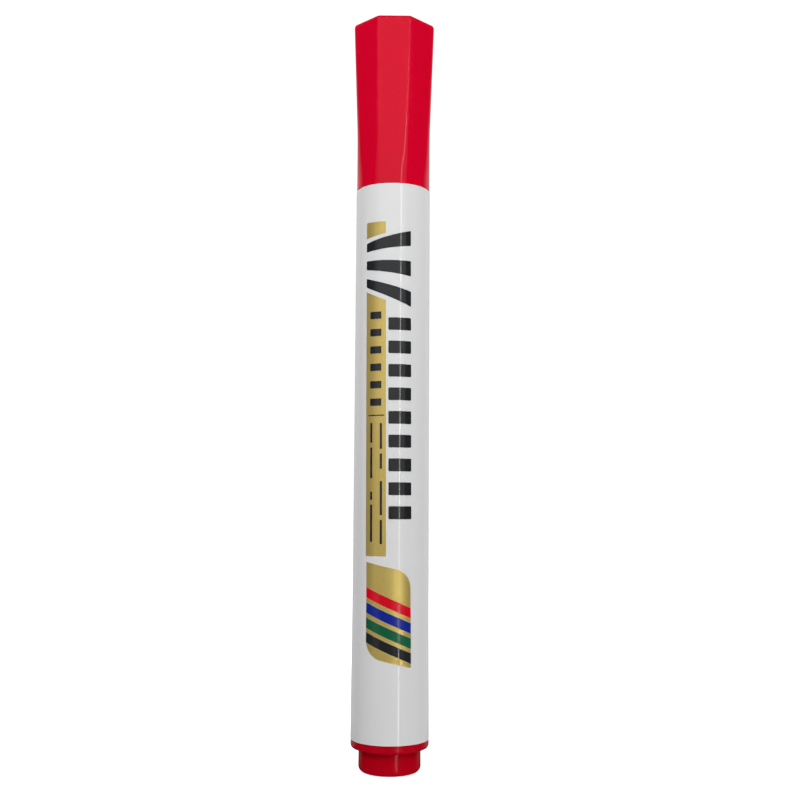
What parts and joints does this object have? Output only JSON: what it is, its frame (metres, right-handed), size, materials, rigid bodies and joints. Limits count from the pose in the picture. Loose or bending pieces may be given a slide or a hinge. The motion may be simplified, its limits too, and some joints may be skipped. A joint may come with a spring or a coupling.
{
  "type": "whiteboard marker",
  "caption": "Slim whiteboard marker with a red octagonal pull-off cap, a white barrel with a gold and black print, a bullet nib and a red rear plug.",
  "frame": {"origin": "centre of the flat end of the rear plug's knob, on which the marker stands upright", "axes": "+Z along the marker's axis towards the closed end of the cap; -Y through the middle of one flat of the cap, on the printed side of the barrel"},
  "size_m": [0.015, 0.015, 0.138],
  "materials": {
    "cap_red": "glossy moulded plastic",
    "plug_red": "glossy moulded plastic",
    "barrel_white": "semi-gloss moulded plastic",
    "holder_white": "semi-gloss moulded plastic",
    "liner_natural": "natural translucent plastic, satin",
    "nib_fibre": "bonded fibre soaked with red ink",
    "reservoir_fibre": "bonded fibre soaked with red ink",
    "film_clear": "thin clear film",
    "print_gold": "satin gold foil print",
    "print_black": "printed ink",
    "print_red": "printed ink",
    "print_blue": "printed ink",
    "print_green": "printed ink"
  },
  "bodies": {
    "pen": {"barrel": "barrel_white", "end_plug": "plug_red", "nib_holder": "holder_white", "nib": "nib_fibre", "reservoir": "reservoir_fibre", "reservoir_film": "film_clear"},
    "cap_liner": {"inner_cap": "liner_natural"},
    "cap": {"cap_shell": "cap_red"}
  },
  "joints": [
    {"name": "cap_pull", "type": "slide", "parent": "pen", "child": "cap_liner", "axis": [0, 0, 1], "range_m": [0, 0.04]},
    {"name": "cap_turn", "type": "hinge", "parent": "cap_liner", "child": "cap", "pos_m": [0, 0, 0.12], "axis": [0, 0, 1], "continuous": true}
  ]
}
